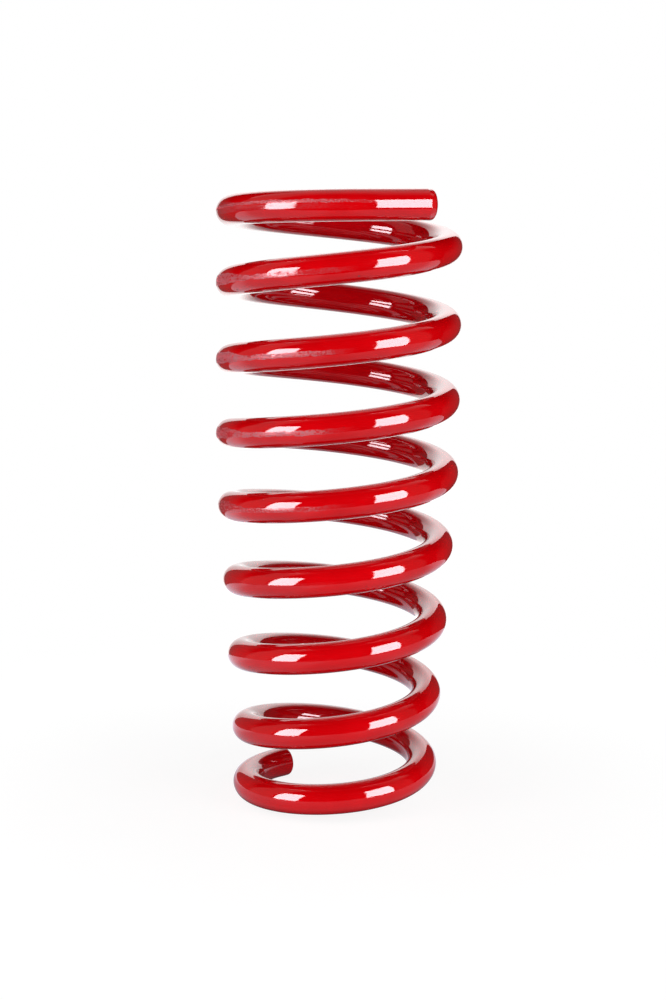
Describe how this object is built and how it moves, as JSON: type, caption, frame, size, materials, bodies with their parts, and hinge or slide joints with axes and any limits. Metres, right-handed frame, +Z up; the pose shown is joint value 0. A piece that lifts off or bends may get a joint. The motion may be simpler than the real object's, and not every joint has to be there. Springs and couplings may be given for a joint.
{
  "type": "coil spring",
  "caption": "Red painted helical compression spring for a car's suspension, tapered towards its lower end, with open ends.",
  "frame": {"origin": "on the spring's axis, level with the lowest side of the bar", "axes": "+Z up along the spring's axis, -Y towards the side where the upper bar end is, right-hand helix"},
  "size_m": [0.1134, 0.1132, 0.2881],
  "materials": {
    "paint": "gloss"
  },
  "bodies": {
    "lower_end_coil": {"lower_end_coil": "paint"},
    "coil_1_quarter_1": {"coil_1_quarter_1": "paint"},
    "coil_1_quarter_2": {"coil_1_quarter_2": "paint"},
    "coil_1_quarter_3": {"coil_1_quarter_3": "paint"},
    "coil_1_quarter_4": {"coil_1_quarter_4": "paint"},
    "coil_2_quarter_1": {"coil_2_quarter_1": "paint"},
    "coil_2_quarter_2": {"coil_2_quarter_2": "paint"},
    "coil_2_quarter_3": {"coil_2_quarter_3": "paint"},
    "coil_2_quarter_4": {"coil_2_quarter_4": "paint"},
    "coil_3_quarter_1": {"coil_3_quarter_1": "paint"},
    "coil_3_quarter_2": {"coil_3_quarter_2": "paint"},
    "coil_3_quarter_3": {"coil_3_quarter_3": "paint"},
    "coil_3_quarter_4": {"coil_3_quarter_4": "paint"},
    "coil_4_quarter_1": {"coil_4_quarter_1": "paint"},
    "coil_4_quarter_2": {"coil_4_quarter_2": "paint"},
    "coil_4_quarter_3": {"coil_4_quarter_3": "paint"},
    "coil_4_quarter_4": {"coil_4_quarter_4": "paint"},
    "coil_5_quarter_1": {"coil_5_quarter_1": "paint"},
    "coil_5_quarter_2": {"coil_5_quarter_2": "paint"},
    "coil_5_quarter_3": {"coil_5_quarter_3": "paint"},
    "coil_5_quarter_4": {"coil_5_quarter_4": "paint"},
    "coil_6_quarter_1": {"coil_6_quarter_1": "paint"},
    "coil_6_quarter_2": {"coil_6_quarter_2": "paint"},
    "coil_6_quarter_3": {"coil_6_quarter_3": "paint"},
    "coil_6_quarter_4": {"coil_6_quarter_4": "paint"},
    "coil_7_quarter_1": {"coil_7_quarter_1": "paint"},
    "coil_7_quarter_2": {"coil_7_quarter_2": "paint"},
    "coil_7_quarter_3": {"coil_7_quarter_3": "paint"},
    "coil_7_quarter_4": {"coil_7_quarter_4": "paint"},
    "upper_end_coil": {"upper_end_coil": "paint"}
  },
  "joints": [
    {"name": "compression", "type": "slide", "parent": "lower_end_coil", "child": "upper_end_coil", "axis": [0, 0, 1], "range_m": [-0.105, 0], "stiffness_N_per_m": 62000},
    {"name": "twist_coil_1_quarter_1", "type": "hinge", "parent": "lower_end_coil", "child": "coil_1_quarter_1", "pos_m": [0.04141, -0.00072, 0.01776], "axis": [0.0417, 0.9991, -0.0075], "range_deg": [-3.25, 0]},
    {"name": "twist_coil_1_quarter_2", "type": "hinge", "parent": "coil_1_quarter_1", "child": "coil_1_quarter_2", "pos_m": [-0.00071, 0.04156, 0.02611], "axis": [-0.9997, -0.0237, 0.0031], "range_deg": [-3.07, 0]},
    {"name": "twist_coil_1_quarter_3", "type": "hinge", "parent": "coil_1_quarter_2", "child": "coil_1_quarter_3", "pos_m": [-0.04185, -0.00217, 0.03497], "axis": [0.0639, -0.998, -0.0001], "range_deg": [-3.53, 0]},
    {"name": "twist_coil_1_quarter_4", "type": "hinge", "parent": "coil_1_quarter_3", "child": "coil_1_quarter_4", "pos_m": [0.00366, -0.04227, 0.0439], "axis": [0.9978, 0.0664, 0.0064], "range_deg": [-3.71, 0]},
    {"name": "twist_coil_2_quarter_1", "type": "hinge", "parent": "coil_1_quarter_4", "child": "coil_2_quarter_1", "pos_m": [0.04272, 0.00519, 0.0529], "axis": [-0.0964, 0.9952, 0.016], "range_deg": [-3.41, 0]},
    {"name": "twist_coil_2_quarter_2", "type": "hinge", "parent": "coil_2_quarter_1", "child": "coil_2_quarter_2", "pos_m": [-0.00676, 0.04311, 0.06197], "axis": [-0.9868, -0.1611, 0.0156], "range_deg": [-3.51, 0]},
    {"name": "twist_coil_2_quarter_3", "type": "hinge", "parent": "coil_2_quarter_2", "child": "coil_2_quarter_3", "pos_m": [-0.04344, -0.00836, 0.07108], "axis": [0.191, -0.9815, 0.0102], "range_deg": [-4.01, 0]},
    {"name": "twist_coil_2_quarter_4", "type": "hinge", "parent": "coil_2_quarter_3", "child": "coil_2_quarter_4", "pos_m": [0.00999, -0.04371, 0.08022], "axis": [0.9796, 0.2003, 0.0137], "range_deg": [-4.04, 0]},
    {"name": "twist_coil_3_quarter_1", "type": "hinge", "parent": "coil_2_quarter_4", "child": "coil_3_quarter_1", "pos_m": [0.04392, 0.01165, 0.08936], "axis": [-0.2411, 0.9702, 0.0235], "range_deg": [-3.78, 0]},
    {"name": "twist_coil_3_quarter_2", "type": "hinge", "parent": "coil_3_quarter_1", "child": "coil_3_quarter_2", "pos_m": [-0.01334, 0.04407, 0.09849], "axis": [-0.9544, -0.2978, 0.0225], "range_deg": [-4.05, 0]},
    {"name": "twist_coil_3_quarter_3", "type": "hinge", "parent": "coil_3_quarter_2", "child": "coil_3_quarter_3", "pos_m": [-0.04415, -0.01505, 0.10758], "axis": [0.3185, -0.9478, 0.0146], "range_deg": [-4.51, 0]},
    {"name": "twist_coil_3_quarter_4", "type": "hinge", "parent": "coil_3_quarter_3", "child": "coil_3_quarter_4", "pos_m": [0.01678, -0.04417, 0.11661], "axis": [0.943, 0.3324, 0.0163], "range_deg": [-4.4, 0]},
    {"name": "twist_coil_4_quarter_1", "type": "hinge", "parent": "coil_3_quarter_4", "child": "coil_4_quarter_1", "pos_m": [0.04412, 0.01853, 0.12558], "axis": [-0.3792, 0.9249, 0.0259], "range_deg": [-4.2, 0]},
    {"name": "twist_coil_4_quarter_2", "type": "hinge", "parent": "coil_4_quarter_1", "child": "coil_4_quarter_2", "pos_m": [-0.0203, 0.044, 0.13447], "axis": [-0.904, -0.4269, 0.0239], "range_deg": [-4.62, 0]},
    {"name": "twist_coil_7_quarter_4", "type": "hinge", "parent": "upper_end_coil", "child": "coil_7_quarter_4", "pos_m": [0.02886, 0.04046, 0.26757], "axis": [0.8253, -0.5642, -0.0241], "range_deg": [-4.61, 0]},
    {"name": "twist_coil_7_quarter_3", "type": "hinge", "parent": "coil_7_quarter_4", "child": "coil_7_quarter_3", "pos_m": [0.03944, -0.03024, 0.25862], "axis": [-0.6206, -0.7838, -0.0227], "range_deg": [-4.51, 0]},
    {"name": "twist_coil_7_quarter_2", "type": "hinge", "parent": "coil_7_quarter_3", "child": "coil_7_quarter_2", "pos_m": [-0.03159, -0.03837, 0.24948], "axis": [-0.7619, 0.6474, -0.0199], "range_deg": [-5.13, 0]},
    {"name": "twist_coil_7_quarter_1", "type": "hinge", "parent": "coil_7_quarter_2", "child": "coil_7_quarter_1", "pos_m": [-0.03725, 0.0329, 0.24036], "axis": [0.6508, 0.7587, -0.0281], "range_deg": [-5.14, 0]},
    {"name": "twist_coil_6_quarter_4", "type": "hinge", "parent": "coil_7_quarter_1", "child": "coil_6_quarter_4", "pos_m": [0.03417, 0.03609, 0.23128], "axis": [0.7361, -0.6762, -0.0311], "range_deg": [-4.56, 0]},
    {"name": "twist_coil_6_quarter_3", "type": "hinge", "parent": "coil_6_quarter_4", "child": "coil_6_quarter_3", "pos_m": [0.03489, -0.03539, 0.22226], "axis": [-0.7236, -0.6899, -0.0207], "range_deg": [-4.61, 0]},
    {"name": "twist_coil_6_quarter_2", "type": "hinge", "parent": "coil_6_quarter_3", "child": "coil_6_quarter_2", "pos_m": [-0.03658, -0.03365, 0.21331], "axis": [-0.6689, 0.7432, -0.0174], "range_deg": [-5.15, 0]},
    {"name": "twist_coil_6_quarter_1", "type": "hinge", "parent": "coil_6_quarter_2", "child": "coil_6_quarter_1", "pos_m": [-0.03236, 0.03772, 0.20443], "axis": [0.7485, 0.6627, -0.0251], "range_deg": [-5.05, 0]},
    {"name": "twist_coil_5_quarter_4", "type": "hinge", "parent": "coil_6_quarter_1", "child": "coil_5_quarter_4", "pos_m": [0.03882, 0.03104, 0.19562], "axis": [0.6318, -0.7747, -0.0276], "range_deg": [-4.55, 0]},
    {"name": "twist_coil_5_quarter_3", "type": "hinge", "parent": "coil_5_quarter_4", "child": "coil_5_quarter_3", "pos_m": [0.02967, -0.03987, 0.18687], "axis": [-0.8121, -0.5833, -0.0174], "range_deg": [-4.7, 0]},
    {"name": "twist_coil_5_quarter_2", "type": "hinge", "parent": "coil_5_quarter_3", "child": "coil_5_quarter_2", "pos_m": [-0.04087, -0.02828, 0.17816], "axis": [-0.5638, 0.8258, -0.0149], "range_deg": [-5.16, 0]},
    {"name": "twist_coil_5_quarter_1", "type": "hinge", "parent": "coil_5_quarter_2", "child": "coil_5_quarter_1", "pos_m": [-0.02685, 0.04182, 0.16947], "axis": [0.8325, 0.5535, -0.0235], "range_deg": [-4.96, 0]},
    {"name": "twist_coil_4_quarter_4", "type": "hinge", "parent": "coil_5_quarter_1", "child": "coil_4_quarter_4", "pos_m": [0.04269, 0.02536, 0.16078], "axis": [0.5131, -0.8579, -0.0264], "range_deg": [-4.54, 0]},
    {"name": "twist_coil_4_quarter_3", "type": "hinge", "parent": "coil_4_quarter_4", "child": "coil_4_quarter_3", "pos_m": [0.02376, -0.04334, 0.15206], "axis": [-0.8864, -0.4626, -0.0169], "range_deg": [-4.74, 0]}
  ],
  "couplings": [
    {"joint": "twist_coil_1_quarter_1", "follows": "compression", "rad_per_m": 0.53668},
    {"joint": "twist_coil_1_quarter_2", "follows": "compression", "rad_per_m": 0.50732},
    {"joint": "twist_coil_1_quarter_3", "follows": "compression", "rad_per_m": 0.58392},
    {"joint": "twist_coil_1_quarter_4", "follows": "compression", "rad_per_m": 0.61379},
    {"joint": "twist_coil_2_quarter_1", "follows": "compression", "rad_per_m": 0.56412},
    {"joint": "twist_coil_2_quarter_2", "follows": "compression", "rad_per_m": 0.58049},
    {"joint": "twist_coil_2_quarter_3", "follows": "compression", "rad_per_m": 0.66343},
    {"joint": "twist_coil_2_quarter_4", "follows": "compression", "rad_per_m": 0.6688},
    {"joint": "twist_coil_3_quarter_1", "follows": "compression", "rad_per_m": 0.62497},
    {"joint": "twist_coil_3_quarter_2", "follows": "compression", "rad_per_m": 0.66983},
    {"joint": "twist_coil_3_quarter_3", "follows": "compression", "rad_per_m": 0.74689},
    {"joint": "twist_coil_3_quarter_4", "follows": "compression", "rad_per_m": 0.72812},
    {"joint": "twist_coil_4_quarter_1", "follows": "compression", "rad_per_m": 0.69448},
    {"joint": "twist_coil_4_quarter_2", "follows": "compression", "rad_per_m": 0.76384},
    {"joint": "twist_coil_7_quarter_4", "follows": "compression", "rad_per_m": 0.76227},
    {"joint": "twist_coil_7_quarter_3", "follows": "compression", "rad_per_m": 0.7465},
    {"joint": "twist_coil_7_quarter_2", "follows": "compression", "rad_per_m": 0.84861},
    {"joint": "twist_coil_7_quarter_1", "follows": "compression", "rad_per_m": 0.85137},
    {"joint": "twist_coil_6_quarter_4", "follows": "compression", "rad_per_m": 0.75466},
    {"joint": "twist_coil_6_quarter_3", "follows": "compression", "rad_per_m": 0.76236},
    {"joint": "twist_coil_6_quarter_2", "follows": "compression", "rad_per_m": 0.853},
    {"joint": "twist_coil_6_quarter_1", "follows": "compression", "rad_per_m": 0.83632},
    {"joint": "twist_coil_5_quarter_4", "follows": "compression", "rad_per_m": 0.7526},
    {"joint": "twist_coil_5_quarter_3", "follows": "compression", "rad_per_m": 0.77846},
    {"joint": "twist_coil_5_quarter_2", "follows": "compression", "rad_per_m": 0.85468},
    {"joint": "twist_coil_5_quarter_1", "follows": "compression", "rad_per_m": 0.82136},
    {"joint": "twist_coil_4_quarter_4", "follows": "compression", "rad_per_m": 0.75117},
    {"joint": "twist_coil_4_quarter_3", "follows": "compression", "rad_per_m": 0.78451}
  ]
}
